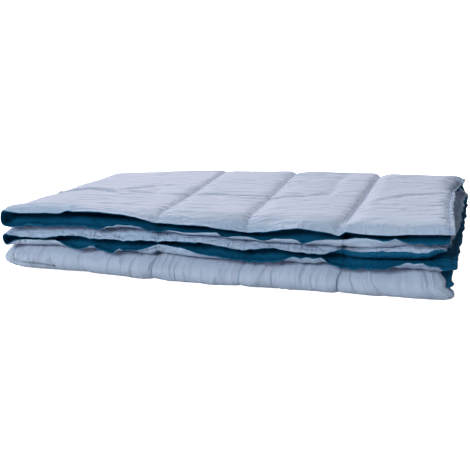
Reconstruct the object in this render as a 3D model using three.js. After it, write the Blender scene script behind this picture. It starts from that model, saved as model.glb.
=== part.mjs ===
import * as THREE from 'three';

// A single duvet, folded in half across its width and twice along its length, lying on a flat surface.
// Millimetres. X runs along the pile, the fold of the width at -X and the side hems at +X. Y runs from
// the front, with the open hems, to the back. Z is up, and the origin is under the middle of the pile.

// Folded pile
const pileDepth = 500;
const layerCount = 8;
const layerPitch = 14.2;
const pileHeight = layerCount * layerPitch;
const rightHem = 364;
const hemInset = 3;

// Opened cloth: half of its width, and its sewn lines as distances from a side hem
const halfWidth = 749;
const seamsFromHem = [14, 161, 317, 468];
const hemFlange = seamsFromHem[0];

// Filling
const hemHalf = 1.6;
const seamHalf = 2.1;
const crownHalf = 6.35;
const crownFullness = 0.62;
const seamRise = 46;
const hemRise = 46;

// Settling of the soft pile
const frontSag = { start: 12, end: 120 };
const hemCrown = 4;
const seamDip = { share: 0.025, reach: 18 };
const hemDraw = { depth: 5, reach: 34 };
const crease = { y: -40, depth: 3, reach: 17, power: 6 };
const foldLiftRun = { start: 10, end: 70 };
const floorPress = 2.6;
const seamDrift = { centre: -60, reach: 180, front: 1, back: 19 };

const faceColour = 0xb6bfd3;
const reverseColour = 0x0b4868;

// Sections along the pile. Heights at the front: how far the bottom fold lies off the floor, its top, and each
// open hem where it starts to turn. The last column is how much higher the top lies at the back.
const sections = [
  { x: -384, lift: 9, fold: 41, hem4: 47, hem3: 68, hem2: 82, hem1: 105, back: -8 },
  { x: -350, lift: 6, fold: 43, hem4: 48, hem3: 70, hem2: 84, hem1: 106, back: -7 },
  { x: -310, lift: 4, fold: 45, hem4: 50, hem3: 72, hem2: 86, hem1: 108, back: -6 },
  { x: -280, lift: 4, fold: 46, hem4: 52, hem3: 76, hem2: 87, hem1: 109, back: -5 },
  { x: -250, lift: 5, fold: 45, hem4: 54, hem3: 78, hem2: 89, hem1: 111, back: -4 },
  { x: -200, lift: 3, fold: 41, hem4: 49, hem3: 75, hem2: 86, hem1: 112, back: -1 },
  { x: -160, lift: 1, fold: 44, hem4: 53, hem3: 76, hem2: 90, hem1: 112, back: 1 },
  { x: -95, lift: 0, fold: 45, hem4: 56, hem3: 76, hem2: 87, hem1: 102, back: 3 },
  { x: -45, lift: 0, fold: 45, hem4: 53, hem3: 78, hem2: 85, hem1: 102, back: 4 },
  { x: -10, lift: 0, fold: 44, hem4: 51, hem3: 78, hem2: 86, hem1: 100, back: 4 },
  { x: 20, lift: 0, fold: 43, hem4: 50, hem3: 73, hem2: 84, hem1: 98, back: 5 },
  { x: 52, lift: 0, fold: 43, hem4: 50, hem3: 70, hem2: 80, hem1: 97, back: 5 },
  { x: 100, lift: 0, fold: 42, hem4: 51, hem3: 73, hem2: 81, hem1: 101, back: 5 },
  { x: 140, lift: 0, fold: 42, hem4: 50, hem3: 71, hem2: 80, hem1: 105, back: 5 },
  { x: 199, lift: 0, fold: 40, hem4: 46, hem3: 71, hem2: 79, hem1: 98, back: 5 },
  { x: 235, lift: 0, fold: 40, hem4: 46, hem3: 72, hem2: 80, hem1: 102, back: 5 },
  { x: 290, lift: 0, fold: 42, hem4: 49, hem3: 76, hem2: 88, hem1: 103, back: 6 },
  { x: 325, lift: 0, fold: 44, hem4: 51, hem3: 76, hem2: 88, hem1: 106, back: 6 },
  { x: 384, lift: 0, fold: 44, hem4: 51, hem3: 79, hem2: 89, hem1: 109, back: 7 },
];

// How far the open hems turn up along the pile, in degrees.
const hemTurns = [
  { x: -384, hem4: 0, hem3: 0, hem2: 0, hem1: 0 },
  { x: -350, hem4: 55, hem3: -36, hem2: 0, hem1: 0 },
  { x: -310, hem4: 60, hem3: -38, hem2: 0, hem1: 0 },
  { x: -280, hem4: 5, hem3: -38, hem2: 0, hem1: 0 },
  { x: -250, hem4: 25, hem3: -38, hem2: 0, hem1: 0 },
  { x: -200, hem4: 5, hem3: -38, hem2: 0, hem1: 0 },
  { x: -160, hem4: 20, hem3: -37, hem2: 0, hem1: -2 },
  { x: -95, hem4: 48, hem3: -36, hem2: 0, hem1: -8 },
  { x: -45, hem4: 50, hem3: -36, hem2: 0, hem1: -10 },
  { x: -10, hem4: 38, hem3: -36, hem2: 0, hem1: -10 },
  { x: 20, hem4: 16, hem3: -35, hem2: 5, hem1: -10 },
  { x: 52, hem4: 2, hem3: -30, hem2: 65, hem1: -10 },
  { x: 100, hem4: 5, hem3: -12, hem2: 68, hem1: -10 },
  { x: 140, hem4: 62, hem3: -22, hem2: 72, hem1: -10 },
  { x: 199, hem4: 5, hem3: -14, hem2: 62, hem1: -8 },
  { x: 235, hem4: 0, hem3: -12, hem2: 68, hem1: -8 },
  { x: 290, hem4: 45, hem3: -15, hem2: 20, hem1: -8 },
  { x: 325, hem4: 58, hem3: -18, hem2: 0, hem1: -8 },
  { x: 384, hem4: 0, hem3: -20, hem2: 0, hem1: -8 },
];

// Each open hem: over what length it turns, and whether the face cloth is on top.
const hems = {
  hem1: { reach: 30, faceUp: 1 },
  hem2: { reach: 16, faceUp: -1 },
  hem3: { reach: 24, faceUp: 1 },
  hem4: { reach: 16, faceUp: -1 },
};

// How far each layer's side hem stands out past the nominal hem at the right end, top layer first.
const sideHems = [
  { front: 0, middle: -7, back: 10 },
  { front: 3, middle: 12, back: 18 },
  { front: 6, middle: 15, back: 20 },
  { front: 4, middle: 11, back: 17 },
  { front: -4, middle: 6, back: 12 },
  { front: -9, middle: -2, back: 8 },
  { front: -5, middle: 3, back: 12 },
  { front: -3, middle: 6, back: 14 },
];

// Worked out from the sizes above
const frontY = -pileDepth / 2;
const backY = pileDepth / 2;
const hemY = frontY + hemInset;
const slab = 2 * layerPitch;
const turnRadius = layerPitch / 2;
const turnArc = (Math.PI / 2) * turnRadius;
const foldLine = rightHem - (halfWidth - turnArc) - turnRadius;
const outerRadius = 1.5 * slab;
const innerRadius = 0.5 * slab;
const backCentreY = backY - 2 * slab;
const frontCentreY = frontY + slab;
const seamLines = seamsFromHem.slice(1).map((seam) => rightHem - seam);

// Where the skin has its points: shares of a channel, of the wide middle panel and of the fold's quarter turn,
// steps in from an end hem, places along the layers, and steps round each fold of the length
const channelShares = [0.1, 0.28, 0.5, 0.72, 0.9, 1];
const panelShares = [0.07, 0.2, 0.36, 0.52, 0.68, 0.84, 1];
const turnShares = [0.66, 0.33];
const hemSteps = [0, 8, 16, 28, 60].map((step) => hemY + step);
const topPlaces = [-120, crease.y - crease.reach, crease.y, crease.y + crease.reach, 80];
const lowPlaces = [60, -110];
const innerPlaces = [60, -40, -120];
const bendSteps = { outer: 8, front: 7, inner: 6 };

const smooth = (from, to, value) => THREE.MathUtils.smoothstep(value, from, to);
const bell = (value, centre, reach) => Math.exp(-(((value - centre) / reach) ** 2));

// A column of a table at a place between its rows, eased so that the outline has no corners.
function between(rows, key, place, column) {
  const last = rows.length - 1;
  if (place <= rows[0][key]) return rows[0][column];
  if (place >= rows[last][key]) return rows[last][column];
  const next = rows.findIndex((row) => row[key] > place);
  const low = rows[next - 1];
  const high = rows[next];
  const share = smooth(low[key], high[key], place);
  return THREE.MathUtils.lerp(low[column], high[column], share);
}

// Stations across the opened cloth, as distances from a side hem to the fold of the width.
function halfStations() {
  const stations = [0, hemFlange / 2, hemFlange];
  const stops = [...seamsFromHem, halfWidth - turnArc];
  for (let stop = 1; stop < stops.length; stop++) {
    const shares = stop === stops.length - 1 ? panelShares : channelShares;
    for (const share of shares) stations.push(THREE.MathUtils.lerp(stops[stop - 1], stops[stop], share));
  }
  for (const share of turnShares) stations.push(halfWidth - share * turnArc);
  return stations;
}

// The whole width, from one side hem over the fold to the other. The outer half lies outside in the wraps.
function acrossStations() {
  const half = halfStations().map((fromHem) => ({ fromHem, outer: 1 }));
  const fold = { fromHem: halfWidth, outer: 1 };
  const rest = half.map(({ fromHem }) => ({ fromHem, outer: -1 })).reverse();
  return [...half, fold, ...rest];
}

// Stations along the opened cloth: points of the path that the double slab follows in the YZ plane.
function alongStations() {
  const stations = [];
  const straight = (y, z, heading, fromHem = Infinity) => {
    stations.push({ y, z, normalY: 0, normalZ: heading, fromHem });
  };
  const bend = (centreY, centreZ, radius, start, turn, steps, outside) => {
    for (let step = 0; step <= steps; step++) {
      const angle = start + (turn * step) / steps;
      const normalY = Math.cos(angle);
      const normalZ = Math.sin(angle);
      stations.push({
        y: centreY + radius * normalY,
        z: centreZ + radius * normalZ,
        normalY: outside * normalY,
        normalZ: outside * normalZ,
        fromHem: Infinity,
      });
    }
  };
  const levels = [3.5, 2.5, 1.5, 0.5].map((count) => count * slab);
  for (const y of hemSteps) straight(y, levels[0], 1, y - hemY);
  for (const y of topPlaces) straight(y, levels[0], 1);
  bend(backCentreY, 2 * slab, outerRadius, Math.PI / 2, -Math.PI, bendSteps.outer, 1);
  for (const y of lowPlaces) straight(y, levels[3], -1);
  bend(frontCentreY, slab, innerRadius, -Math.PI / 2, -Math.PI, bendSteps.front, 1);
  for (const y of lowPlaces.slice().reverse()) straight(y, levels[2], 1);
  bend(backCentreY, 2 * slab, innerRadius, -Math.PI / 2, Math.PI, bendSteps.inner, -1);
  for (const y of innerPlaces) straight(y, levels[1], -1);
  for (const y of hemSteps.slice().reverse()) straight(y, levels[1], -1, y - hemY);
  return stations;
}

// Half of the thickness: full away from the seams, drawn in at them and closed at the hems.
function halfThickness(across, along) {
  if (across.fromHem < hemFlange) return hemHalf + (seamHalf - hemHalf) * (across.fromHem / hemFlange);
  const toSeam = Math.min(seamRise, ...seamsFromHem.map((seam) => Math.abs(across.fromHem - seam)));
  const round = Math.sin(((Math.PI / 2) * toSeam) / seamRise) ** crownFullness;
  const toHem = 1 - Math.min(along.fromHem / hemRise, 1);
  const channel = seamHalf + (crownHalf - seamHalf) * round;
  return hemHalf + (channel - hemHalf) * Math.sqrt(1 - toHem * toHem);
}

// A point of the face (side 1) or of the reverse (side -1) in the evenly folded pile.
function foldedPoint(across, along, side) {
  const toFold = halfWidth - across.fromHem;
  const angle = Math.min(toFold / turnRadius, Math.PI / 2);
  const offset = side * halfThickness(across, along);
  const straightPart = Math.max(toFold - turnArc, 0);
  const x = foldLine + turnRadius + straightPart - (turnRadius + offset) * Math.cos(angle);
  const out = across.outer * (turnRadius + offset) * Math.sin(angle);
  return new THREE.Vector3(x, along.y + out * along.normalY, along.z + out * along.normalZ);
}

// Heights at the front: the even layers of the pile are pressed and parted to the sections' heights.
function frontHeight(x, z) {
  const at = (column) => between(sections, 'x', x, column);
  const levels = [
    { even: 0, front: 0 },
    { even: 4 * layerPitch, front: at('fold') },
    { even: 4.5 * layerPitch, front: at('hem4') },
    { even: 5.5 * layerPitch, front: at('hem3') },
    { even: 6.5 * layerPitch, front: at('hem2') },
    { even: 7.5 * layerPitch, front: at('hem1') },
    { even: pileHeight, front: at('hem1') + hemCrown },
  ];
  const upper = Math.max(1, levels.findIndex((level) => level.even >= Math.min(z, pileHeight)));
  const low = levels[upper - 1];
  const high = levels[upper];
  return THREE.MathUtils.mapLinear(z, low.even, high.even, low.front, high.front);
}

// How far the side hem of the layers at this height stands out.
function sideReach(y, z) {
  const layer = THREE.MathUtils.clamp((pileHeight - z) / layerPitch - 0.5, 0, layerCount - 1);
  const column = y < 0 ? 'front' : 'back';
  const share = Math.abs(y) / backY;
  const at = (row) => THREE.MathUtils.lerp(sideHems[row].middle, sideHems[row][column], share);
  const above = Math.floor(layer);
  const below = Math.min(above + 1, layerCount - 1);
  return THREE.MathUtils.lerp(at(above), at(below), layer - above);
}

// The seams do not run quite square: they drift towards the fold of the width, most at the back.
function drift(x, y) {
  const amount = THREE.MathUtils.mapLinear(y, frontY, backY, seamDrift.front, seamDrift.back);
  return amount * bell(x, seamDrift.centre, seamDrift.reach);
}

// The soft pile settles: hems sag and part at the front, seams dip, a crease crosses the top, the back rises.
function settled({ x, y, z }) {
  const share = Math.min(z / pileHeight, 1);
  const front = 1 - smooth(frontY + frontSag.start, frontY + frontSag.end, y);
  const sagged = THREE.MathUtils.lerp(z, frontHeight(x, z), front);
  const dip = seamDip.share * seamLines.reduce((sum, line) => sum + bell(x, line, seamDip.reach), 0);
  const creased = crease.depth * bell(y, crease.y, crease.reach) * share ** crease.power;
  const atFold = 1 - smooth(frontY + foldLiftRun.start, frontY + foldLiftRun.end, y);
  const lift = between(sections, 'x', x, 'lift') * atFold * (1 - smooth(0, pileHeight / 2, z));
  const rise = between(sections, 'x', x, 'back') * share * smooth(frontY + frontSag.end, backCentreY, y);
  const height = sagged * (1 - dip) - creased - floorPress * (1 - share) + lift + rise;
  const drawn = hemDraw.depth * seamLines.reduce((sum, line) => sum + bell(x, line, hemDraw.reach), 0);
  const hemward = 1 - smooth(hemY, hemY + hemRise, y);
  const toRight = smooth(seamLines[0], rightHem, x);
  return new THREE.Vector3(
    x + toRight * sideReach(y, z) - drift(x, y),
    y + drawn * hemward * smooth(3 * layerPitch, 5 * layerPitch, z),
    Math.max(height, 0),
  );
}

// An open hem bends up or down over its last stretch, thickness and all.
function turnHem(point, name, fromHem, offset) {
  const { reach, faceUp } = hems[name];
  const past = reach - fromHem;
  const angle = THREE.MathUtils.degToRad(between(hemTurns, 'x', point.x, name));
  if (past <= 0 || angle === 0) return point;
  const radius = reach / angle;
  const bend = (angle * past) / reach;
  const level = offset * faceUp;
  point.y -= (radius - level) * Math.sin(bend) - past;
  point.z += radius - (radius - level) * Math.cos(bend) - level;
  return point;
}

function skinPoint(across, along, upperEnd, side) {
  const point = settled(foldedPoint(across, along, side));
  const outerHalf = across.outer > 0;
  const upperHem = outerHalf ? 'hem1' : 'hem2';
  const lowerHem = outerHalf ? 'hem4' : 'hem3';
  return turnHem(point, upperEnd ? upperHem : lowerHem, along.fromHem, side * halfThickness(across, along));
}

// The closed skin of the duvet: face and reverse, joined along the hems.
function duvetGeometry() {
  const across = acrossStations();
  const along = alongStations();
  const columns = across.length;
  const rows = along.length;
  const positions = [];
  for (const side of [1, -1]) {
    along.forEach((row, index) => {
      const upperEnd = index < rows / 2;
      for (const column of across) positions.push(...skinPoint(column, row, upperEnd, side));
    });
  }
  const point = (row, column, side) => side * rows * columns + row * columns + column;
  const faceTriangles = [];
  const reverseTriangles = [];
  const quad = (list, a, b, c, d) => list.push(a, b, c, a, c, d);
  for (let row = 0; row + 1 < rows; row++) {
    for (let column = 0; column + 1 < columns; column++) {
      const corners = [[row, column], [row + 1, column], [row + 1, column + 1], [row, column + 1]];
      quad(faceTriangles, ...corners.map(([r, c]) => point(r, c, 0)));
      quad(reverseTriangles, ...corners.map(([r, c]) => point(r, c, 1)).reverse());
    }
  }
  const rim = [];
  for (let column = 0; column < columns - 1; column++) rim.push([0, column]);
  for (let row = 0; row < rows - 1; row++) rim.push([row, columns - 1]);
  for (let column = columns - 1; column > 0; column--) rim.push([rows - 1, column]);
  for (let row = rows - 1; row > 0; row--) rim.push([row, 0]);
  rim.forEach(([row, column], index) => {
    const [nextRow, nextColumn] = rim[(index + 1) % rim.length];
    quad(
      faceTriangles,
      point(row, column, 0),
      point(nextRow, nextColumn, 0),
      point(nextRow, nextColumn, 1),
      point(row, column, 1),
    );
  });
  const geometry = new THREE.BufferGeometry();
  geometry.setAttribute('position', new THREE.Float32BufferAttribute(positions, 3));
  geometry.setIndex([...faceTriangles, ...reverseTriangles]);
  geometry.addGroup(0, faceTriangles.length, 0);
  geometry.addGroup(faceTriangles.length, reverseTriangles.length, 1);
  geometry.computeVertexNormals();
  geometry.computeBoundingBox();
  const middle = geometry.boundingBox.getCenter(new THREE.Vector3());
  return geometry.translate(-middle.x, -middle.y, 0);
}

const clothFinish = { roughness: 0.85, metalness: 0 };
const faceCloth = new THREE.MeshStandardMaterial({ color: faceColour, ...clothFinish });
const reverseCloth = new THREE.MeshStandardMaterial({ color: reverseColour, ...clothFinish });

const duvet = new THREE.Mesh(duvetGeometry(), [faceCloth, reverseCloth]);
duvet.name = 'duvet';

const foldedDuvet = new THREE.Group();
foldedDuvet.add(duvet);

export default foldedDuvet;
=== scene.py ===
import math
import bmesh
import bpy
import numpy as np
from mathutils import Matrix, Vector


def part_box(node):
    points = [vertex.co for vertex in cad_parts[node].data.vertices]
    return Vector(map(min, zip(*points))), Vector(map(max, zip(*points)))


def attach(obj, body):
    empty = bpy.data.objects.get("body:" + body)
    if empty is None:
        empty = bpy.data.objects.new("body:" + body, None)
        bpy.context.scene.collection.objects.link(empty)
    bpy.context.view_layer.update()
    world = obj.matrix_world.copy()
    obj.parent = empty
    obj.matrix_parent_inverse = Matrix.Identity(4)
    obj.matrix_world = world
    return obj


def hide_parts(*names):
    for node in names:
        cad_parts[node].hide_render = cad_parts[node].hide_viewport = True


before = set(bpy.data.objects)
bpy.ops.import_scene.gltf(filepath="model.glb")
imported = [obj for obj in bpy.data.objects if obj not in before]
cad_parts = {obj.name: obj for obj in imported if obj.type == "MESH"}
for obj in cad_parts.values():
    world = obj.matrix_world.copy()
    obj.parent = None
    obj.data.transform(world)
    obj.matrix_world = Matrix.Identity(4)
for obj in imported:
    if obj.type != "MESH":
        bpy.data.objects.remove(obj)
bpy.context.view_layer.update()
print("frame loaded")

mm = 0.001  # the cloth is worked out in millimetres and set down in metres
quarter = math.pi / 2

# The folded pile: eight layers, as two double slabs wrapped into each other
pile = {
    "layerPitch": 14.2,
    "hemInset": 3,        # the end hems lie this far behind the front of the pile
    "sideReach": 20,      # the nominal side hem lies this far inside the box
    "sagStart": 4,        # behind the front, the hems droop from here
    "sagEnd": 70,         # and lie level from here
    "seamDip": 0.012,     # share of the height lost over a seam
    "seamDipReach": 16,
    "drawIn": 5,          # the seams pull the end hems back by this
    "drawInReach": 34,
    "drawInLayers": (3, 5),    # from none to all of it, in layers from the floor
    "floorPress": 2.6,    # the lowest layer is pressed down by this
    "topAbove": 4,        # the top lies this far above the first hem
    "leftReach": 6,       # the upper layers stand out by this at the left of the front
    "foldShift": 7.5,     # the fold at the front lies this far to the left
    "foldShiftKept": 0.65,     # and this share of it at its left end
    "leftFade": 60,       # length of that end
    "sidePlaces": (-80, 100),  # between the front and the back, for the side hems
    # the seams lie this far to the left at the back, as (x, way)
    "seamDrift": [(-384, 0), (-200, 12), (-103, 18), (48, 13), (120, 3), (204, -8), (300, -4), (384, 0)],
}
quilt = {
    "halfWidth": 749,     # from a side hem to the middle of the cloth
    "seams": [8, 161, 317, 468],     # sewn lines, from the side hem
    "edgeHalf": 0.25,     # half thickness at the very edge, the hem and the crown
    "hemHalf": 0.55,
    "crownHalf": 6.5,
    "seamFaces": [1.5, 0.6, 2.8, 2.8],    # each seam's half thickness on the face, and on the reverse
    "seamReverse": 1,
    "seamRoll": 3.6,      # at least this on the front fold, and how far that reaches
    "seamRollReach": 60,
    "fullness": 0.5,
    "seamRise": 16,       # from a seam to the full crown, away from the side hem and towards it
    "hemwardRise": 30,
    "hemRise": 46,        # from an end hem to the full crown
    "edgeRise": 4,        # from the very edge to the hem
}

lowCorner, highCorner = (np.array(corner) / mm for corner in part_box("duvet"))
pitch = pile["layerPitch"]
slab = 2 * pitch
pileHeight = 8 * pitch
frontY, backY = lowCorner[1], highCorner[1]
hemY = frontY + pile["hemInset"]
rightHem = highCorner[0] - pile["sideReach"]
turnRadius = pitch / 2
turnArc = turnRadius * quarter
halfWidth = quilt["halfWidth"]
hemFlange = quilt["seams"][0]
clothWidth = 2 * halfWidth
foldLine = rightHem - (halfWidth - turnArc) - turnRadius
seamLines = [rightHem - seam for seam in quilt["seams"][1:]]

# The way of the double slab in the YZ plane, from the upper end hem to the lower one
backCentre = (backY - 2 * slab, 2 * slab)
frontCentre = (frontY + slab, slab)
endRun = backCentre[0] - hemY
midRun = backCentre[0] - frontCentre[0]
outerTurn, innerTurn = 1.5 * slab, 0.5 * slab
slabRuns = [
    {"length": endRun, "y": hemY, "z": 3.5 * slab, "heading": 1},
    {"length": outerTurn * math.pi, "centre": backCentre, "radius": outerTurn,
     "start": quarter, "turn": -1, "outside": 1},
    {"length": midRun, "y": backCentre[0], "z": 0.5 * slab, "heading": -1},
    {"length": innerTurn * math.pi, "centre": frontCentre, "radius": innerTurn,
     "start": -quarter, "turn": -1, "outside": 1},
    {"length": midRun, "y": frontCentre[0], "z": 1.5 * slab, "heading": 1},
    {"length": innerTurn * math.pi, "centre": backCentre, "radius": innerTurn,
     "start": -quarter, "turn": 1, "outside": -1},
    {"length": endRun, "y": backCentre[0], "z": 2.5 * slab, "heading": -1},
]
clothLength = sum(run["length"] for run in slabRuns)
topEnd = endRun + outerTurn * math.pi                       # the outer wrap reaches the floor here
rollMiddle = topEnd + midRun + innerTurn * quarter          # foremost line of the fold at the front

# Heights of the front edges along the pile, as (x, height): an end hem where it starts to turn
frontLines = {
    "fold": [(-369, 39), (-280, 43), (-205, 40), (-148, 40), (-73, 37), (39, 36), (121, 39), (194, 36),
             (261, 35), (329, 36)],
    "hem4": [(-372, 46), (-350, 42), (-294, 43), (-254, 49), (-220, 50), (-197, 48), (-177, 46), (-149, 51),
             (-111, 49), (-92, 48), (-66, 47), (-30, 46), (12, 46), (42, 47), (61, 46), (95, 49), (146, 49),
             (175, 50), (186, 47), (218, 45), (248, 47), (282, 49), (303, 50), (320, 52), (348, 55),
             (366, 58)],
    "hem3": [(-372, 69), (-303, 73), (-274, 77), (-236, 79), (-195, 75), (-143, 76), (-95, 77), (-48, 79.5),
             (-21, 80), (4, 76), (40, 70), (73, 70), (96, 73), (122, 71), (180, 67), (206, 56), (233, 52),
             (261, 53.5), (293, 55.5), (321, 56.5), (340, 61), (355, 71), (368, 78)],
    "hem2": [(-372, 82), (-301, 86), (-251, 89), (-235, 89), (-202, 85), (-163, 90), (-142, 89), (-98, 87),
             (-48, 82), (-4, 82), (15, 82), (26, 79), (44, 77), (68, 77), (110, 76), (195, 76), (218, 75.5),
             (247, 77.5), (266, 81), (284, 84), (297, 89), (320, 91), (346, 93)],
    "hem1": [(-372, 114), (-300, 119), (-272, 119), (-258, 122), (-245, 118), (-176, 112), (-157, 111),
             (-142, 108), (-126, 105), (-96, 104), (-62, 103), (-43, 103), (-13, 102), (12, 99), (57, 97),
             (86, 98.5), (109, 102.5), (139, 107), (152, 106), (187, 105), (199, 102), (209, 111), (236, 108),
             (282, 108), (310, 111), (337, 114), (366, 116)],
}
# How far the end hems turn, as (x, degrees), upwards if more than 0, over the last few millimetres
hemTurns = {
    "hem1": {
        "reach": [(-384, 38), (-280, 44), (-200, 22), (-100, 30), (0, 22), (60, 34), (110, 20),
                  (150, 26), (220, 30), (300, 22), (366, 30)],
        "angles": [(-384, -14), (-350, -32), (-270, -30), (-200, 0), (-130, 4), (-100, -16), (60, -18),
                   (150, -20), (220, -44), (366, -54)],
    },
    "hem2": {
        "reach": [(-120, 11), (-80, 9), (10, 9), (30, 13), (160, 15), (200, 17), (264, 20), (288, 17),
                  (298, 12)],
        "angles": [(-384, 0), (-350, -8), (-200, -8), (-185, 40), (-130, 46), (-115, -8), (-90, 0),
                   (-75, 50), (-30, 70), (6, 100), (16, 0), (26, 50), (40, 70), (55, 60), (72, 38),
                   (86, 28), (98, 72), (132, 84), (146, 12), (158, 60), (190, 98), (230, 112),
                   (250, 92), (266, 54), (282, 76), (290, 80), (297, -20), (310, -30), (366, -32)],
    },
    "hem3": {
        "reach": [(150, 24), (206, 25)],
        "angles": [(-384, 0), (-350, -36), (-20, -36), (40, -34), (70, -16), (96, -10), (130, -22),
                   (180, -10), (206, 80), (233, 98), (293, 98), (321, 84), (340, 64), (355, 18),
                   (368, -10)],
    },
    "hem4": {
        "reach": [(-290, 29), (-270, 24), (-240, 19), (-130, 19), (-100, 25), (-50, 25), (-10, 20)],
        "angles": [(-384, 0), (-354, 72), (-285, 78), (-254, 0), (-238, 6), (-216, 48), (-202, 0),
                   (-176, 0), (-166, 50), (-156, 10), (-135, 14), (-100, 80), (-60, 72), (-10, 34),
                   (25, 14), (60, 0), (110, 0), (125, 45), (150, 66), (175, 45), (190, 0), (275, 0),
                   (295, 50), (310, 68), (322, 54), (345, 14), (366, 0)],
    },
}
# Where the third hem turns up the filling stands behind it, as (x, height), and fades out further in
hemFill = {"height": [(180, 0), (233, 11), (325, 11), (348, 7), (368, 0)], "rise": 12, "from": 30, "to": 64}
# How far each layer's side hem stands out, top layer first, from the front to the back
sideHems = [(3, -4, -1, 23), (-4, -6, -9, 8), (-9, 9, 13, 16), (8, 14, 18, 20),
            (-8, 4, 10, 14), (14, -2, 4, 10), (-4, -6, 4, 12), (-6, -8, 4, 12)]
# The outer cloth of the front fold reaches further, as (height, reach)
foldEnd = [(0, 16), (12, 27), (22, 26), (36, 12), (44, 13), (54, 18)]
# How much higher the top lies at the front and at the back, as (x, rise)
frontRise = [(-384, -6), (-340, 2), (-310, 4), (-260, 3), (-150, 0), (60, 0), (150, 2), (220, 1),
             (300, 3), (384, 5)]
backRise = [(-384, -8), (-250, -1), (-120, 5), (50, 7), (200, 8), (300, 7), (384, 8)]
# The left of the front fold lies a little off the floor, as (x, lift)
foldLift = [(-384, 9), (-350, 6), (-310, 4), (-250, 5), (-200, 3), (-150, 1), (-100, 0)]
# Wrinkles pressed into the top: depth, reach and the line that they follow, as (x, y)
topWrinkles = [
    (7, 14, [(-390, -84), (-372, -66)]),
    (7, 9, [(-430, -130), (-384, -100), (-348, -76), (-325, -58), (-303, -50), (-280, -58),
            (-245, -70), (-225, -66)]),
    (5, 8, [(-262, -62), (-245, -50), (-225, -26), (-205, 0), (-180, 10)]),
    (3.5, 7, [(-260, -52), (-225, -60), (-174, -68), (-120, -66), (-91, -60), (-58, -54), (-19, -58),
              (13, -55), (44, -64), (70, -66)]),
    (3.2, 7, [(30, -60), (55, -54), (73, -60), (96, -56), (120, -41), (144, -22), (169, -42), (187, -56),
              (201, -81)]),
    (4.9, 7, [(208, -90), (223, -76), (244, -49), (271, -22), (295, -6), (340, 6), (362, 12)]),
    (8, 15, [(152, 226), (143, 119), (146, 51), (149, -45)]),
    (2.2, 6, [(225, 126), (244, 153), (269, 168), (308, 191)]),
    (2.2, 5, [(211, -131), (224, -106), (242, -90)]),
    (1.8, 5, [(255, -122), (274, -92), (293, -55)]),
    (2.3, 6, [(256, -165), (282, -155), (313, -141), (350, -132)]),
    (2.3, 6, [(216, -234), (234, -220), (263, -198)]),
    (1.6, 6, [(275, -179), (326, -170)]),
    (2.0, 7, [(62, 10), (73, 53), (101, 118)]),
    (1.8, 6, [(108, -96), (137, -70)]),
    (2.4, 6, [(65, -188), (79, -162), (94, -151), (119, -147)]),
    (1.8, 6, [(121, -160), (154, -164), (176, -176)]),
    (2.4, 5, [(143, -106), (168, -118), (197, -139)]),
    (2.4, 5, [(162, -154), (195, -174)]),
    (1.4, 8, [(-311, -3), (-267, 14)]),
    (2.7, 6, [(-267, -205), (-237, -203), (-218, -194), (-211, -172)]),
    (2.7, 8, [(-194, -174), (-169, -179), (-142, -214), (-114, -223)]),
    (5, 18, [(-166, -75), (-178, -13), (-170, 40)]),
    (1.9, 7, [(-346, 101), (-304, 117), (-252, 143), (-223, 165)]),
    (1.9, 6, [(-246, -163), (-235, -148), (-191, -148)]),
    (1.9, 6, [(-219, -109), (-174, -115), (-134, -141)]),
]
# Behind each wrinkle the cloth swells a little
wrinkleCrest = {
    "share": 0.35,        # of the depth of the wrinkle
    "behind": 11,
    "reach": 9,
    "crisp": 0.6,         # width of the wrinkle itself, as a share of its reach
    "taper": 0.22,        # it runs out over this share of its length at either end
    "topOnly": 6,         # power of the height, so that it fades out below the top
}
# Creases down the front fold: x at the floor, x at the top, depth and reach
rollCreases = [(-114, -106, 2.4, 2.6), (39, 44, 2.4, 2.6), (197, 197, 2.4, 2.6), (-67, -68, 3.6, 2.8),
               (-237, -237, 3.0, 8), (-288, -296, 2.4, 6), (231, 208, 3.0, 3.6), (268, 236, 2.8, 3.6),
               (106, 94, 2.2, 5), (164, 148, 2.2, 5), (-160, -154, 2.0, 5), (-24, -20, 1.6, 4),
               (300, 288, 1.6, 6)]
# One more along its left end, as (x, way along the cloth from the middle of the fold), with its width in
# the shape and its reach in the shading
rollLine = {"spots": [(-372, 7), (-368, 1), (-330, -1), (-291, -4.5), (-299, 3)],
            "depth": 3, "width": 3, "reach": 1.8}


def smooth(low, high, value):
    share = np.clip((value - low) / (high - low), 0, 1)
    return share * share * (3 - 2 * share)


def bell(value, centre, reach):
    return np.exp(-((value - centre) / reach) ** 2)


def mix(low, high, share):
    return low + (high - low) * share


def table(x, spots):
    return np.interp(x, *zip(*spots))


# Uneven, but the same each run: a few seeded waves laid over each other
def unevenLine(place, seed, shortest, longest, count=6):
    draw = np.random.default_rng(seed)
    total = 0
    for _ in range(count):
        total = total + np.sin(2 * math.pi * (place / draw.uniform(shortest, longest) + draw.random()))
    return total / math.sqrt(count)


def unevenField(across, along, seed, shortest, longest, slant, count=8):
    draw = np.random.default_rng(seed)
    total = 0
    for _ in range(count):
        turn = draw.uniform(-slant, slant)
        place = across * math.sin(turn) + along * math.cos(turn)
        total = total + np.sin(2 * math.pi * (place / draw.uniform(shortest, longest) + draw.random()))
    return total / math.sqrt(count)


# Stations across and along the opened cloth, close together where they show
stations = {
    "sideHem": [0, 2, 4, 6],
    "outerStep": 5.4,     # across the half that lies outside, and across the other
    "innerStep": 8,
    "gathered": 0.3,      # closer together towards the seams by this share
    "turn": [1, 0.75, 0.5, 0.25],    # shares of the fold of the width
    "endHem": [0, 2, 4, 7, 10, 14, 18, 23, 29, 36, 44, 53],
    "clear": 56,          # no other station lies nearer to an end hem
    "beside": 30,         # length beside a fold
    "alongSteps": [5.3, 7, 8, 26, 5, 3, 6, 26, 6, 26],    # from the upper end hem on, wide where hidden
}


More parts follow.
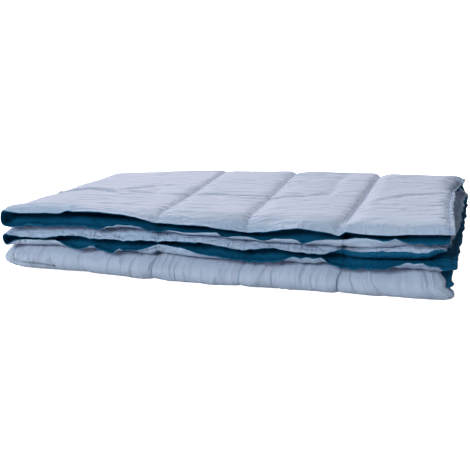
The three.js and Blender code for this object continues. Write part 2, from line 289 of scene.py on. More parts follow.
def halfStations(step):
    spots = list(stations["sideHem"])
    stops = quilt["seams"] + [halfWidth - turnArc]
    for start, end in zip(stops, stops[1:]):
        count = round((end - start) / step)
        for i in range(count):
            even = i / count
            eased = (1 - math.cos(math.pi * even)) / 2
            spots.append(mix(start, end, mix(even, eased, stations["gathered"])))
    return spots + [halfWidth - turnArc * share for share in stations["turn"]]


def acrossStations():
    outer = halfStations(stations["outerStep"])
    inner = halfStations(stations["innerStep"])
    return np.array(outer + [halfWidth] + [clothWidth - spot for spot in reversed(inner)])


def alongStations():
    hem, beside, clear = stations["endHem"], stations["beside"], stations["clear"]
    outerArc, innerArc = outerTurn * math.pi, innerTurn * math.pi
    lengths = [endRun, outerArc, beside, midRun - 2 * beside, beside, innerArc, beside, midRun - beside,
               innerArc, endRun - 2 * beside]
    spots = list(hem)
    reached = 0
    for length, step in zip(lengths, stations["alongSteps"]):
        count = max(2, round(length / step))
        spots += [reached + length * (i + 1) / count for i in range(count)]
        reached += length
    spots = sorted(spot for spot in spots if spot in hem or clear < spot < clothLength - clear)
    return np.array(spots + [clothLength - spot for spot in reversed(hem)])


def fromSideHem(across):
    return np.minimum(across, clothWidth - across)


def fromEndHem(along):
    return np.minimum(along, clothLength - along)


def fromSeam(across):
    return np.min([np.abs(fromSideHem(across) - seam) for seam in quilt["seams"]], axis=0)


# Half thickness of the filled cloth: the reverse stays flat for longer behind an end hem
def puff(across, along, side):
    nearest = np.argmin([np.abs(fromSideHem(across) - seam) for seam in quilt["seams"]], axis=0)
    past = fromSideHem(across) - np.array(quilt["seams"])[nearest]
    inward = np.sin(quarter * np.clip(past / quilt["seamRise"], 0, 1)) ** quilt["fullness"]
    hemward = np.sin(quarter * np.clip(-past / quilt["hemwardRise"], 0, 1))
    crown = np.where(past > 0, inward, hemward) * (fromSideHem(across) > hemFlange)
    toHem = np.clip(fromEndHem(along) / quilt["hemRise"], 0, 1)
    rise = np.where(side > 0, 1 - (1 - toHem) ** 2, smooth(0, 1, toHem))
    seamHalf = np.where(side > 0, np.array(quilt["seamFaces"])[nearest], quilt["seamReverse"])
    seamHalf = np.maximum(seamHalf, quilt["seamRoll"] * bell(along, rollMiddle, quilt["seamRollReach"]))
    half = mix(quilt["hemHalf"], mix(seamHalf, quilt["crownHalf"], crown), rise)
    edge = np.minimum(fromSideHem(across), fromEndHem(along))
    return mix(quilt["edgeHalf"], half, smooth(0, quilt["edgeRise"], edge))


# Ripples run out from the stitching: their spacing, slant, reach and height
puckers = [
    {"shortest": 40, "longest": 90, "slant": 0.35, "reach": 400, "height": 1.3},
    {"shortest": 24, "longest": 40, "slant": 0.4, "reach": 60, "height": 0.9},
    {"shortest": 15, "longest": 24, "slant": 0.15, "reach": 16, "height": 0.7},
]
puckerFit = {
    "seed": 40,
    "otherSide": 900,     # the two cloths ripple in different places
    "level": 0.6,         # crests rise above this, valleys sink below it
    "seamFade": 9,        # none right at a seam, and none at an end hem
    "hemFade": 24,
}


def pucker(across, along, side):
    total = 0
    for i, row in enumerate(puckers):
        field = unevenField(across, along + puckerFit["otherSide"] * side, puckerFit["seed"] + i,
                            row["shortest"], row["longest"], row["slant"])
        atSeam = bell(fromSeam(across), 0, row["reach"])
        total = total + row["height"] * atSeam * (np.abs(field) - puckerFit["level"])
    offSeam = smooth(0, puckerFit["seamFade"], fromSeam(across))
    return total * offSeam * smooth(0, puckerFit["hemFade"], fromEndHem(along))


# The quilt is sewn flat and filled by cloth simulation before it is folded
filling = {
    "pressure": 0.45,
    "frames": 22,
    "spare": 0.1,         # spare length of cloth along the stitching
    "spareReach": 60,
    "spareSteps": 10,
    "tension": 15,
    "shear": 5,
    "bending": 0.02,
    "weight": 0.15,
    "quality": 4,
    "startShare": 0.75,   # filled this far before it is blown up, but for the seams
    "startFrom": 1,
    "heldSeam": 0.5,      # held still this far from a seam and from an end hem
    "heldEnd": 1,
    "levelReach": 40,     # wrinkles are what stands out from the mean over this length
    "wrinkles": 1.2,      # share of them that is kept
}


def readPlaces(mesh):
    flat = np.empty(len(mesh.vertices) * 3)
    mesh.vertices.foreach_get("co", flat)
    return flat.reshape(-1, 3)


def fillQuilt(duvet, across, along, held):
    sewn = duvet.vertex_groups.new(name="sewn")
    sewn.add(np.nonzero(held)[0].tolist(), 1, "REPLACE")
    spare = duvet.vertex_groups.new(name="spare")
    toStitch = np.minimum(fromSeam(across), fromEndHem(along))
    count = filling["spareSteps"]
    steps = np.rint(count * bell(toStitch, 0, filling["spareReach"]))
    for step in range(1, count + 1):
        spare.add(np.nonzero(steps == step)[0].tolist(), step / count, "REPLACE")
    cloth = duvet.modifiers.new("filling", "CLOTH")
    settings = cloth.settings
    settings.quality = filling["quality"]
    settings.mass = filling["weight"]
    settings.tension_stiffness = filling["tension"]
    settings.compression_stiffness = filling["tension"]
    settings.shear_stiffness = filling["shear"]
    settings.bending_stiffness = filling["bending"]
    settings.use_pressure = True
    settings.uniform_pressure_force = filling["pressure"]
    settings.vertex_group_mass = "sewn"
    settings.shrink_min = 0
    settings.shrink_max = -filling["spare"]
    settings.vertex_group_shrink = "spare"
    settings.effector_weights.gravity = 0
    cloth.point_cache.frame_end = filling["frames"]
    scene = bpy.context.scene
    for step in range(1, filling["frames"] + 1):
        scene.frame_set(step)
    filled = readPlaces(duvet.evaluated_get(bpy.context.evaluated_depsgraph_get()).data)
    duvet.modifiers.remove(cloth)
    duvet.vertex_groups.clear()
    scene.frame_set(1)
    return filled / mm


# The wrinkles of the filled cloth, without its overall swelling
def findWrinkles(half, column, row, side, along):
    weights = bell(along[:, None], along[None, :], filling["levelReach"]) * np.gradient(along)
    weights /= weights.sum(axis=1, keepdims=True)
    wrinkles = np.zeros_like(half)
    for here in (side > 0, side < 0):
        grid = np.zeros((row.max() + 1, column.max() + 1))
        grid[row[here], column[here]] = half[here]
        wrinkles[here] = (grid - weights @ grid)[row[here], column[here]]
    return wrinkles


# Only the outer wrap and the front fold may swell past the room between two layers
room = {
    "inner": 6.75,        # half thickness that fits between two layers, and on the outside
    "outer": 9.5,
    "rollFrom": 30,       # round the front fold
    "rollTo": 60,
    "ease": 30,           # where the outer wrap ends
    "hemSpare": 1.2,      # near an end hem the filling swells by no more than this
    "hemFrom": 0.8,       # near, in shares of the hem's rise
    "hemTo": 1.4,
    "knee": 0.7,          # the last of the room is filled softly
    "least": 0.6,
}


def fitRoom(half, across, along, side):
    outer = (side > 0) & (across < halfWidth)
    atRoll = 1 - smooth(room["rollFrom"], room["rollTo"], np.abs(along - rollMiddle))
    atTop = 1 - smooth(topEnd - room["ease"], topEnd, along)
    free = np.where(outer, np.maximum(atTop, atRoll), 0)
    most = mix(room["inner"], room["outer"], free)
    nearHem = 1 - smooth(room["hemFrom"], room["hemTo"], fromEndHem(along) / quilt["hemRise"])
    most = mix(most, np.minimum(most, puff(across, along, side) + room["hemSpare"]), nearHem)
    knee = most - room["knee"]
    over = np.maximum(half - knee, 0)
    eased = knee + (most - knee) * np.tanh(over / (most - knee))
    return np.maximum(np.where(half > knee, eased, half), room["least"])


def slabPath(along):
    y, z, normalY, normalZ = (np.zeros_like(along) for _ in range(4))
    slack = 1e-6          # a station on the border counts to the next run
    begun = 0
    for run in slabRuns:
        here = along >= begun - slack
        part = along[here] - begun
        if "heading" in run:
            y[here] = run["y"] + run["heading"] * part
            z[here] = run["z"]
            normalY[here] = 0
            normalZ[here] = run["heading"]
        else:
            angle = run["start"] + run["turn"] * part / run["radius"]
            y[here] = run["centre"][0] + run["radius"] * np.cos(angle)
            z[here] = run["centre"][1] + run["radius"] * np.sin(angle)
            normalY[here] = run["outside"] * np.cos(angle)
            normalZ[here] = run["outside"] * np.sin(angle)
        begun += run["length"]
    return y, z, normalY, normalZ


def foldCloth(across, along, offset):
    outer = np.where(across <= halfWidth, 1, -1)
    toFold = halfWidth - fromSideHem(across)
    angle = np.minimum(toFold / turnRadius, quarter)
    x = foldLine + turnRadius + np.maximum(toFold - turnArc, 0) - (turnRadius + offset) * np.cos(angle)
    out = outer * (turnRadius + offset) * np.sin(angle)
    y, z, normalY, normalZ = slabPath(along)
    return x, y + out * normalY, z + out * normalZ


def frontHeight(x, z):
    line = {name: table(x, spots) for name, spots in frontLines.items()}
    even = [0, 4 * pitch, 4.5 * pitch, 5.5 * pitch, 6.5 * pitch, 7.5 * pitch, pileHeight]
    front = [0 * x, line["fold"], line["hem4"], line["hem3"], line["hem2"], line["hem1"],
             line["hem1"] + pile["topAbove"]]
    height = z.copy()
    for i in range(len(even) - 1):
        here = z >= even[i]
        share = (z[here] - even[i]) / (even[i + 1] - even[i])
        height[here] = mix(front[i][here], front[i + 1][here], share)
    return height


def sideReach(y, z):
    last = len(sideHems) - 1
    layer = np.clip((pileHeight - z) / pitch - 0.5, 0, last)
    places = [frontY, *pile["sidePlaces"], backY]
    reach = np.array([np.interp(y, places, row) for row in sideHems])
    above = np.floor(layer).astype(int)
    below = np.minimum(above + 1, last)
    column = np.arange(len(y))
    return mix(reach[above, column], reach[below, column], layer - above)


def seamDrift(x, y):
    return table(x, pile["seamDrift"]) * np.clip((y - frontY) / (backY - frontY), 0, 1)


# Distance to a line, and the place along it from 0 to 1
def toLine(x, y, spots):
    nearest, place = np.full_like(x, np.inf), np.zeros_like(x)
    for i, ((startX, startY), (endX, endY)) in enumerate(zip(spots, spots[1:])):
        runX, runY = endX - startX, endY - startY
        share = np.clip(((x - startX) * runX + (y - startY) * runY) / (runX ** 2 + runY ** 2), 0, 1)
        distance = np.hypot(x - startX - share * runX, y - startY - share * runY)
        place = np.where(distance < nearest, (i + share) / (len(spots) - 1), place)
        nearest = np.minimum(nearest, distance)
    return nearest, place


def pressWrinkles(x, y):
    pressed = np.zeros_like(x)
    for depth, reach, spots in topWrinkles:
        gap, place = toLine(x, y, spots)
        behind, behindPlace = toLine(x, y - wrinkleCrest["behind"], spots)
        fade, behindFade = (smooth(0, wrinkleCrest["taper"], np.minimum(part, 1 - part))
                            for part in (place, behindPlace))
        valley = fade * np.exp(-gap / (wrinkleCrest["crisp"] * reach))
        crest = behindFade * wrinkleCrest["share"] * bell(behind, 0, wrinkleCrest["reach"])
        pressed = pressed + depth * (valley - crest)
    return pressed


# Ways behind the front, and heights in layers, over which the settling changes
settling = {
    "back": 120,          # from here the top takes its height at the back
    "fold": (10, 70),     # the lift of the fold at the front fades out
    "foldLayers": 4,
    "roll": (10, 44),     # so does the outer cloth's own reach at the side
    "front": (40, 200),   # and the shift of the layers to the left
    "lowLayers": (3, 4.5),
    "leftWave": {"depth": 2.5, "fade": 90, "seed": 21, "shortest": 70, "longest": 190, "count": 3},
}


def behindFront(y, ways):
    return 1 - smooth(frontY + ways[0], frontY + ways[1], y)


def inLayers(z, layers):
    return smooth(layers[0] * pitch, layers[1] * pitch, z)


def leftEnd(x):
    return 1 - smooth(foldLine, foldLine + pile["leftFade"], x)


def settle(x, y, z, outer):
    front = behindFront(y, (pile["sagStart"], pile["sagEnd"]))
    height = mix(z, frontHeight(x, z), front)
    share = np.clip(z / pileHeight, 0, 1)
    backward = smooth(frontY + settling["back"], backCentre[0], y)
    for line in seamLines:
        height = height * (1 - pile["seamDip"] * (1 - backward) * bell(x, line, pile["seamDipReach"]))
    height -= pressWrinkles(x, y) * share ** wrinkleCrest["topOnly"]
    height -= pile["floorPress"] * (1 - share)
    drawn = sum(bell(x, line, pile["drawInReach"]) for line in seamLines)
    hemward = 1 - smooth(hemY, hemY + quilt["hemRise"], y)
    y = y + pile["drawIn"] * drawn * hemward * inLayers(z, pile["drawInLayers"])
    atFold = behindFront(y, settling["fold"])
    height += table(x, foldLift) * atFold * (1 - inLayers(z, (0, settling["foldLayers"])))
    rise = share * mix(table(x, frontRise) * (1 - front), table(x, backRise), backward)
    toRight = smooth(seamLines[0], rightHem, x)
    toLeft = leftEnd(x)
    low = 1 - inLayers(z, settling["lowLayers"])
    nearFront = behindFront(y, settling["front"])
    atRoll = outer * low * behindFront(y, settling["roll"])
    reach = mix(sideReach(y, z), table(z, foldEnd), atRoll)
    x = x + toRight * reach - seamDrift(x, y)
    wave = settling["leftWave"]
    waving = unevenLine(y, wave["seed"], wave["shortest"], wave["longest"], wave["count"])
    x = x - wave["depth"] * (1 - smooth(foldLine, foldLine + wave["fade"], x)) * share * waving
    shifted = pile["foldShift"] * mix(1, pile["foldShiftKept"], toLeft)
    x = x - nearFront * mix(pile["leftReach"] * toLeft, shifted, low)
    return x, y, np.maximum(height + rise, 0)


leastTurn = 0.01      # a level hem is bent by this, so that its radius stays finite


# The end hems bend up or down over their last few millimetres, thickness and all
def hemTurn(x, across, along, offset):
    upper = along < clothLength / 2
    outer = across <= halfWidth
    layers = {"hem1": upper & outer, "hem2": upper & ~outer, "hem3": ~upper & ~outer, "hem4": ~upper & outer}
    faceUp = np.where(layers["hem1"] | layers["hem3"], 1, -1)
    forward, rise = np.zeros_like(x), np.zeros_like(x)
    for name, here in layers.items():
        reach = table(x, hemTurns[name]["reach"])
        angle = np.radians(table(x, hemTurns[name]["angles"]))
        angle = np.where(np.abs(angle) < leastTurn, leastTurn, angle)
        radius = reach / angle
        past = np.clip(reach - fromEndHem(along), 0, None)
        bend = angle * past / reach
        level = offset * faceUp
        forward = np.where(here, (radius - level) * np.sin(bend) - past, forward)
        rise = np.where(here, radius - (radius - level) * np.cos(bend) - level, rise)
    away = fromEndHem(along)
    filled = smooth(0, hemFill["rise"], away) * (1 - smooth(hemFill["from"], hemFill["to"], away))
    rise = rise + table(x, hemFill["height"]) * filled * (layers["hem3"] & (offset > 0))
    return forward, rise


# Loose edges wave in and out and up and down: a wave's size, seed, and shortest and longest length
ruffles = {
    "endReach": 34,
    "sideReach": 40,
    "topShare": 0.3,      # the top layer waves less
    "halves": 5000,       # the layers take their waves from places this far apart
    "ends": 11000,
    "endLift": (0.9, 5, 16, 110),
    "sideLift": (1.6, 6, 30, 90),
    "endDraw": (0.8, 7, 20, 90),
    "sideDraw": (1.6, 8, 26, 100),
    "gather": (1.2, 12, 13, 26),    # along the top layer's side hem
    "droop": 16,          # of that hem at the back, from this share of the layer on
    "droopFrom": 0.45,
}


def ruffle(across, along):
    def wave(name, place, here):
        size, seed, shortest, longest = ruffles[name]
        return size * here * unevenLine(place, seed, shortest, longest)

    half = np.where(across <= halfWidth, 0, 1)
    upper = np.where(along < clothLength / 2, 0, 1)
    place = fromSideHem(across) + ruffles["halves"] * half + ruffles["ends"] * upper
    sidePlace = along + ruffles["halves"] * half
    atEnd = 1 - smooth(0, ruffles["endReach"], fromEndHem(along))
    atSide = 1 - smooth(0, ruffles["sideReach"], fromSideHem(across))
    top = np.where((half == 0) & (along < endRun), ruffles["topShare"], 1)
    lift = top * (wave("endLift", place, atEnd) + wave("sideLift", sidePlace, atSide))
    inward = top * wave("endDraw", place, atEnd)
    sideways = top * wave("sideDraw", sidePlace, atSide)
    drooping = ruffles["droop"] * atSide * smooth(ruffles["droopFrom"] * endRun, endRun, along)
    lift = lift + (1 - top) * (np.abs(wave("gather", along, atSide)) - drooping)
    return lift, inward, sideways


# The fold at the front: how far behind the front and how high it is shaped, and its fine wrinkles
roll = {
    "ways": (10, 45),
    "heights": (42, 54),
    "creaseTop": 42,      # a crease runs from the floor up to here
    "fine": {"depth": 1.7, "lean": 0.2, "seed": 90, "shortest": 13, "longest": 40},
    "broad": {"depth": 1.5, "lean": -0.3, "seed": 91, "shortest": 45, "longest": 120},
    "bulge": {"depth": 4, "middle": 20, "reach": 190},
}
# The side hem at its right end turns in, by this in radians
tuck = {"length": 26, "turn": 2, "ways": (30, 80)}
# The crease along its left end, laid out on the opened cloth
rollEnds = []
for spotX, way in rollLine["spots"]:
    kept = mix(1, pile["foldShiftKept"], leftEnd(spotX))
    rollEnds.append((rightHem - spotX - pile["foldShift"] * kept, rollMiddle + way))


# Creases, fine wrinkles, and the side hem tucked in behind the right end
def shapeRoll(x, y, z, across, along):
    low = 1 - smooth(*roll["heights"], z)
    here = behindFront(y, roll["ways"]) * low
    for foot, head, depth, reach in rollCreases:
        line = mix(foot, head, np.clip(z / roll["creaseTop"], 0, 1))
        y = y + depth * np.exp(-np.abs(x - line) / reach) * here
    fine, broad, bulge = roll["fine"], roll["broad"], roll["bulge"]
    ripple = unevenLine(x + fine["lean"] * z, fine["seed"], fine["shortest"], fine["longest"])
    swell = unevenLine(x + broad["lean"] * z, broad["seed"], broad["shortest"], broad["longest"])
    y = y + fine["depth"] * np.abs(ripple) * here
    y = y + broad["depth"] * swell * here
    gap, _ = toLine(across, along, rollEnds)
    y = y + rollLine["depth"] * np.exp(-gap / rollLine["width"]) * here
    y = y - bulge["depth"] * bell(x, bulge["middle"], bulge["reach"]) * here
    past = np.clip(tuck["length"] - fromSideHem(across), 0, None)
    radius = tuck["length"] / tuck["turn"]
    bend = past / radius
    tucked = low * behindFront(y, tuck["ways"]) * (across < halfWidth)
    x = x - tucked * (past - radius * np.sin(bend))
    y = y + tucked * radius * (1 - np.cos(bend))
    return x, y


def makeDuvet():
    across, along = acrossStations(), alongStations()
    columns, rows = len(across) - 1, len(along) - 1
    bm = bmesh.new()
    bmesh.ops.create_grid(bm, x_segments=columns, y_segments=rows, size=0.5)
    copied = bmesh.ops.extrude_face_region(bm, geom=bm.faces[:], use_keep_orig=True)
    upper = [part for part in copied["geom"] if isinstance(part, bmesh.types.BMVert)]
    bmesh.ops.translate(bm, verts=upper, vec=(0, 0, 1))
    bmesh.ops.recalc_face_normals(bm, faces=bm.faces[:])
    faceLevel = 0.9       # above the rim, which takes the reverse cloth
    for face in bm.faces:
        face.smooth = True
        face.material_index = 0 if face.calc_center_median().z > faceLevel else 1
    mesh = bpy.data.meshes.new("duvet")
    bm.to_mesh(mesh)
    bm.free()
    duvet = bpy.data.objects.new("duvet", mesh)
    bpy.context.scene.collection.objects.link(duvet)

    flat = readPlaces(mesh)
    column = np.rint((flat[:, 0] + 0.5) * columns).astype(int)
    row = np.rint((flat[:, 1] + 0.5) * rows).astype(int)
    u, v = across[column], along[row]
    side = np.where(flat[:, 2] > 0.5, 1.0, -1.0)
    corner = np.empty(len(mesh.loops), dtype=int)
    mesh.loops.foreach_get("vertex_index", corner)
    unfolded = np.stack([u, v], 1)[corner] * mm
    mesh.uv_layers.new(name="cloth").data.foreach_set("uv", unfolded.ravel())

    half = puff(u, v, side)
    ripple = pucker(u, v, side)
    start = half * mix(1, filling["startShare"], fromSeam(u) > filling["startFrom"]) + ripple
    mesh.vertices.foreach_set("co", (np.stack([u, v, side * start], 1) * mm).ravel())
    mesh.update()
    sewn = (fromSeam(u) < filling["heldSeam"]) | (fromSideHem(u) < hemFlange)
    held = sewn | (fromEndHem(v) < filling["heldEnd"])
    filled = fillQuilt(duvet, u, v, held)
    wrinkles = findWrinkles(filled[:, 2] * side, column, row, side, along)
    half = half + filling["wrinkles"] * wrinkles
    print("quilt filled: wrinkles", np.round([wrinkles.min(), wrinkles.std(), wrinkles.max()], 2))

    offset = side * fitRoom(half, u, v, side)
    lift, inward, sideways = ruffle(u, v)
    x, y, z = settle(*foldCloth(u, v, offset + lift), u <= halfWidth)
    forward, rise = hemTurn(x, u, v, offset)
    x, y, z = x + sideways, y - forward + inward, z + rise
    x, y = shapeRoll(x, y, z, u, v)
    mesh.vertices.foreach_set("co", (np.stack([x, y, np.maximum(z, 0)], 1) * mm).ravel())
    mesh.update()
    print("duvet:", len(mesh.polygons), "faces, cloth", round(clothWidth), "x", round(clothLength), "mm")
    return duvet


class Shade:
    def __init__(self, tree, socket):
        self.tree, self.socket = tree, socket

    def node(self, kind, settings=None, inputs=None, output=0):
        made = self.tree.nodes.new(kind)
        for name, value in (settings or {}).items():
            setattr(made, name, value)
        for name, value in (inputs or {}).items():
            if isinstance(value, Shade):
                self.tree.links.new(value.socket, made.inputs[name])
            else:
                made.inputs[name].default_value = value
        return Shade(self.tree, made.outputs[output])

    def math(self, operation, *values):
        return self.node("ShaderNodeMath", {"operation": operation}, dict(enumerate(values)))

    def __add__(self, other):
        return self.math("ADD", self, other)

    def __radd__(self, other):
        return self.math("ADD", other, self)

    def __sub__(self, other):
        return self.math("SUBTRACT", self, other)

    def __rsub__(self, other):
        return self.math("SUBTRACT", other, self)

    def __mul__(self, other):
        return self.math("MULTIPLY", self, other)

    def __rmul__(self, other):
        return self.math("MULTIPLY", other, self)

    def __truediv__(self, other):
        return self.math("DIVIDE", self, other)

    def __rtruediv__(self, other):
        return self.math("DIVIDE", other, self)

    def __lt__(self, other):
        return self.math("LESS_THAN", self, other)

    def __gt__(self, other):
        return self.math("GREATER_THAN", self, other)


# The two cloths: colours are linear, lengths are millimetres
faceLook = {
    "colour": (0.50, 0.52, 0.635, 1),
    "shade": (0.44, 0.48, 0.605, 1),      # where the cloth is a little duller
    "thinAndShaded": (0.36, 0.48, 0.65, 1),        # along the unfilled hems: partly the teal reverse showing through, partly painted shade and painted bounce light
    # the thread, and the painted shade beside the seams
    "threadAndSeamShade": (0.30, 0.37, 0.53, 1),
    "roughness": 0.75,
    "shine": 0.02,
    "relief": 1.0,
}
reverseLook = {
    "colour": (0.001, 0.095, 0.2, 1),
    "shade": (0.001, 0.075, 0.165, 1),
    # along the unfilled hems a little darker: partly the thin cloth, partly painted shade
    "thinAndShaded": (0.001, 0.085, 0.18, 1),
    # the thread, and the painted shade beside the seams
    "threadAndSeamShade": (0.001, 0.05, 0.11, 1),
    "roughness": 0.7,
    "shine": 0.15,
    "relief": 0.6,
}
weave = {
    "yarn": 0.55,         # width of a yarn, length of its thicker parts, and its height
    "slub": 14,
    "yarnHeight": 0.03,
    "yarnTone": 0.15,     # share of the duller colour that comes from yarns, and from clouds
    "cloudTone": 0.7,
    "yarnRoughness": 0.1,
    "distortion": 0.5,
    "stitch": 3.4,        # length of a stitch, and the share of it that shows
    "stitchShare": 0.66,
    "threadHalf": 0.45,
    "threadHeight": 0.25,
    "seamShadeReach": 1.8,     # beside the thread the cloth is painted darker, as shade in the seam groove
    "seamShadeShare": 0.6,
    "grooveReach": 2.6,   # and sinks in
    "grooveDepth": 0.35,
    "gatherFrom": 2,      # gathers start this far from a seam
    "gatherReach": 12,
    "sideGatherReach": 15,
    "hemReach": 25,       # thin cloth, tinted partly as painted shade, from an end hem and from a side hem
    "sideHemReach": 14,
    "thinCrumple": 5,     # how much it crumples, and the lower end besides
    "lowerCrumple": 6,
    "rollReach": 52,      # the front fold has its own crumples, and sharp lines in its creases
    "creaseReach": 26,
    "creaseShare": 0.5,
    "patchGain": 2.6,     # long crumples come and go
    "patchLevel": 0.5,
    "noiseMiddle": 0.5,   # a crumple has its valley there
    "ridgeLevel": 0.1,
    "ridgeRoughness": 0.45,
}
# Uneven fields, as ripples per metre across and along the cloth, and detail
clouds, patches = (5, 8, 2), (6, 9, 1)
# Crumples with sharp valleys, mostly longer across a channel than along it: the same, then turn and height
crumples = {
    "gathers": [(28, 150, 1, 0, 8)],
    "sideGathers": [(22, 100, 1, 0.15, 16)],
    "long": [(9, 40, 1, 0.35, 5), (9, 44, 1, -0.3, 5), (4, 40, 1, 0.05, 4)],
    "fine": [(6, 110, 1, 0.12, 1.8)],
    "upright": [(40, 9, 2, 0.15, 15), (26, 12, 1, -0.25, 15)],
    "thinAndShaded": [(45, 60, 2, 0, 1), (85, 22, 2, 0, 0.8)],
}


def makeCloth(name, look):
    material = bpy.data.materials.new(name)
    material.use_nodes = True
    tree = material.node_tree
    shader = tree.nodes["Principled BSDF"]
    start = Shade(tree, None)
    spot = start.node("ShaderNodeUVMap", {"uv_map": "cloth"})
    spread = start.node("ShaderNodeSeparateXYZ", inputs={0: spot})
    across = spread / mm
    along = Shade(tree, spread.socket.node.outputs[1]) / mm

    def noise(scaleU, scaleV, detail, roughness=0.5, turn=0):
        turned = start.node("ShaderNodeMapping", inputs={"Vector": spot, "Rotation": (0, 0, turn)})
        stretched = start.node("ShaderNodeMapping", inputs={"Vector": turned, "Scale": (scaleU, scaleV, 1)})
        return start.node("ShaderNodeTexNoise", inputs={
            "Vector": stretched, "Scale": 1, "Detail": detail, "Roughness": roughness,
            "Distortion": weave["distortion"]})

    def crumple(kind):
        total = 0
        for scaleU, scaleV, detail, turn, height in crumples[kind]:
            swing = noise(scaleU, scaleV, detail, weave["ridgeRoughness"], turn) - weave["noiseMiddle"]
            total = total + (start.math("ABSOLUTE", swing) - weave["ridgeLevel"]) * height
        return total

    def near(offset, reach):
        return start.math("EXPONENT", -1 * (offset / reach) * (offset / reach))

    def blend(share, low, high):
        return start.node("ShaderNodeMix", {"data_type": "RGBA"}, {0: share, 6: low, 7: high}, 2)

    # yarns both ways, thicker and thinner along their length
    perYarn, perSlub = 1 / mm / weave["yarn"], 1 / mm / weave["slub"]
    yarns = noise(perYarn, perSlub, 1) + noise(perSlub, perYarn, 1)

    # rows of stitches along the seams
    toHem = start.math("MINIMUM", across, clothWidth - across)
    toEnd = start.math("MINIMUM", along, clothLength - along)
    offSeam = start.math("ABSOLUTE", toHem - hemFlange)
    for seam in quilt["seams"][1:]:
        offSeam = start.math("MINIMUM", offSeam, start.math("ABSOLUTE", toHem - seam))
    dash = start.math("FRACT", along / weave["stitch"]) < weave["stitchShare"]
    stitch = dash * (offSeam < weave["threadHalf"])

    # colour and roughness
    cloudy = noise(*clouds)
    # along the hems the colour turns towards the hem tint: partly the reverse showing through the unfilled
    # cloth, partly painted shade and painted bounce light
    thinAndShaded = start.math("MAXIMUM", near(toEnd, weave["hemReach"]), near(toHem, weave["sideHemReach"]))
    dull = cloudy * weave["cloudTone"] + yarns * weave["yarnTone"]
    tone = blend(thinAndShaded * cloudy, blend(dull, look["colour"], look["shade"]), look["thinAndShaded"])
    # beside the seams the colour darkens towards the thread colour: painted shade of the seam groove
    sewn = start.math("MAXIMUM", stitch, near(offSeam, weave["seamShadeReach"]) * weave["seamShadeShare"])
    tree.links.new(blend(sewn, tone, look["threadAndSeamShade"]).socket, shader.inputs["Base Color"])
    rough = look["roughness"] + weave["yarnRoughness"] * (yarns - 1)
    tree.links.new(rough.socket, shader.inputs["Roughness"])

    # crumples, turned upright on the front fold, and gathers at the stitching
    atSeam = near(offSeam, weave["gatherReach"]) * (1 - near(offSeam, weave["gatherFrom"]))
    atHem = near(toHem - hemFlange, weave["sideGatherReach"])
    atRoll = near(along - rollMiddle, weave["rollReach"])
    lowerEnd = near(clothLength - along, weave["hemReach"])
    patchy = noise(*patches) * weave["patchGain"] - weave["patchLevel"]
    gathers = crumple("gathers") * atSeam + crumple("sideGathers") * atHem
    lengthwise = crumple("long") * patchy + crumple("fine") + gathers
    upright = crumple("upright") * patchy
    thinly = crumple("thinAndShaded") * (weave["thinCrumple"] * thinAndShaded + weave["lowerCrumple"] * lowerEnd)
    creased = lengthwise + (upright - lengthwise) * atRoll + thinly

    # sharp lines in the creases of the front fold
    onRoll = near(along - rollMiddle, weave["creaseReach"])
    for foot, head, depth, reach in rollCreases:
        lean = (foot - head) / 2 / innerTurn / quarter
        line = across - (rightHem - pile["foldShift"] - (foot + head) / 2) - lean * (along - rollMiddle)
        creased = creased - near(line, weave["creaseShare"] * reach) * onRoll * (weave["creaseShare"] * depth)
    for (startU, startV), (endU, endV) in zip(rollEnds, rollEnds[1:]):
        runU, runV = endU - startU, endV - startV
        share = ((across - startU) * runU + (along - startV) * runV) / (runU ** 2 + runV ** 2)
        share = start.math("MINIMUM", start.math("MAXIMUM", share, 0), 1)
        offU, offV = across - startU - share * runU, along - startV - share * runV
        gap = start.math("SQRT", offU * offU + offV * offV)
        creased = creased - near(gap, rollLine["reach"]) * rollLine["depth"]

    groove = near(offSeam, weave["grooveReach"]) * weave["grooveDepth"]
    height = yarns * weave["yarnHeight"] + creased + stitch * weave["threadHeight"] - groove
    bump = start.node("ShaderNodeBump", inputs={"Height": height, "Strength": look["relief"], "Distance": mm})
    tree.links.new(bump.socket, shader.inputs["Normal"])
    shader.inputs["Specular IOR Level"].default_value = look["shine"]
    return material


studio = {
    "sky": 0.42,          # overhead, and the share of it at the horizon
    "horizon": 0.2,
    "skyTint": (0.88, 0.96, 1, 1),
    "backdrop": 1.2,      # what the camera sees behind the floor
    "floorGlow": 1,
    "floorHalf": 30,      # metres, as for the lamps
    "floorColour": (0.9, 0.9, 0.9, 1),
    "floorRoughness": 0.9,
    "key": {"place": (-10.2, 24.2, 12.8), "aim": (0, 0, 0.05),
            "size": 6, "power": 10200, "tint": (1, 0.93, 0.91)},
    "front": {"place": (-2.2, -4.8, 2.9), "aim": (0, 0, 0.05),
              "size": 2, "power": 216, "tint": (0.8, 0.95, 1)},
}


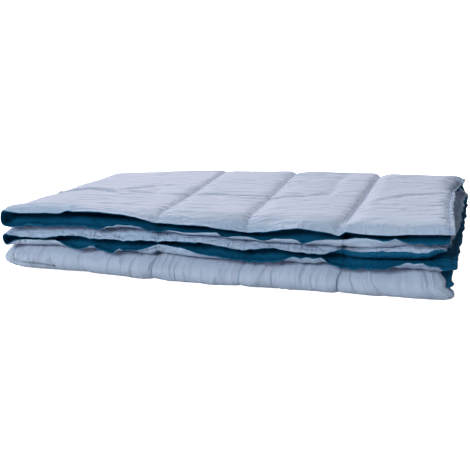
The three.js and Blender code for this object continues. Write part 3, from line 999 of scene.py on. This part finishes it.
def makeStage():
    bm = bmesh.new()
    bmesh.ops.create_grid(bm, x_segments=1, y_segments=1, size=studio["floorHalf"])
    mesh = bpy.data.meshes.new("floor")
    bm.to_mesh(mesh)
    bm.free()
    floor = bpy.data.objects.new("floor", mesh)
    bpy.context.scene.collection.objects.link(floor)
    paper = bpy.data.materials.new("paleFloor")
    paper.use_nodes = True
    shader = paper.node_tree.nodes["Principled BSDF"]
    shader.inputs["Base Color"].default_value = studio["floorColour"]
    shader.inputs["Roughness"].default_value = studio["floorRoughness"]
    seen = Shade(paper.node_tree, None).node("ShaderNodeLightPath")
    glow = seen.node("ShaderNodeCombineColor", inputs={0: seen, 1: seen, 2: seen})
    paper.node_tree.links.new(glow.socket, shader.inputs["Emission Color"])
    shader.inputs["Emission Strength"].default_value = studio["floorGlow"]
    mesh.materials.append(paper)
    world = bpy.data.worlds.new("studio")
    world.use_nodes = True
    sky = world.node_tree.nodes["Background"]
    sky.inputs["Color"].default_value = studio["skyTint"]
    start = Shade(world.node_tree, None)
    seen = start.node("ShaderNodeLightPath")
    direction = start.node("ShaderNodeTexCoord")
    upward = start.math("MAXIMUM", start.node("ShaderNodeSeparateXYZ", inputs={0: direction}, output=2), 0)
    overhead = studio["sky"] * (studio["horizon"] + (1 - studio["horizon"]) * upward)
    strength = overhead + seen * (studio["backdrop"] - overhead)
    world.node_tree.links.new(strength.socket, sky.inputs["Strength"])
    bpy.context.scene.world = world
    bpy.context.scene.view_settings.view_transform = "Standard"


def addLamp(name):
    row = studio[name]
    lamp = bpy.data.lights.new(name, "AREA")
    lamp.size = row["size"]
    lamp.energy = row["power"]
    lamp.color = row["tint"]
    holder = bpy.data.objects.new(name, lamp)
    holder.location = row["place"]
    holder.rotation_euler = (Vector(row["aim"]) - Vector(row["place"])).to_track_quat("-Z", "Y").to_euler()
    bpy.context.scene.collection.objects.link(holder)


cameraSetup = {
    "place": (375.2, -1338.7, 363.2),    # millimetres
    "yaw": 17.2,
    "pitch": 13.57,
    "roll": -1.08,
    "focal": 750,        # pixels of a 470 pixel frame
    "frame": 470,
    "sensor": 36,
}


def makeCamera():
    yaw, tilt, roll = (math.radians(cameraSetup[name]) for name in ("yaw", "pitch", "roll"))
    back = Vector((math.sin(yaw) * math.cos(tilt), -math.cos(yaw) * math.cos(tilt), math.sin(tilt)))
    level = Vector((math.cos(yaw), math.sin(yaw), 0))
    turn = Matrix.Rotation(roll, 3, back)
    level = turn @ level
    upward = back.cross(level)
    camera = bpy.data.cameras.new("camera")
    camera.sensor_width = cameraSetup["sensor"]
    camera.lens = camera.sensor_width * cameraSetup["focal"] / cameraSetup["frame"]
    holder = bpy.data.objects.new("camera", camera)
    stand = Matrix((level, upward, back)).transposed().to_4x4()
    stand.translation = Vector(cameraSetup["place"]) * mm
    holder.matrix_world = stand
    bpy.context.scene.collection.objects.link(holder)
    bpy.context.scene.camera = holder


makeCamera()
makeStage()
addLamp("key")
addLamp("front")
print("studio set")
duvet = makeDuvet()
for cloth in (makeCloth("faceCloth", faceLook), makeCloth("reverseCloth", reverseLook)):
    duvet.data.materials.append(cloth)
print("cloths dressed")
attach(duvet, "root")
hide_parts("duvet")
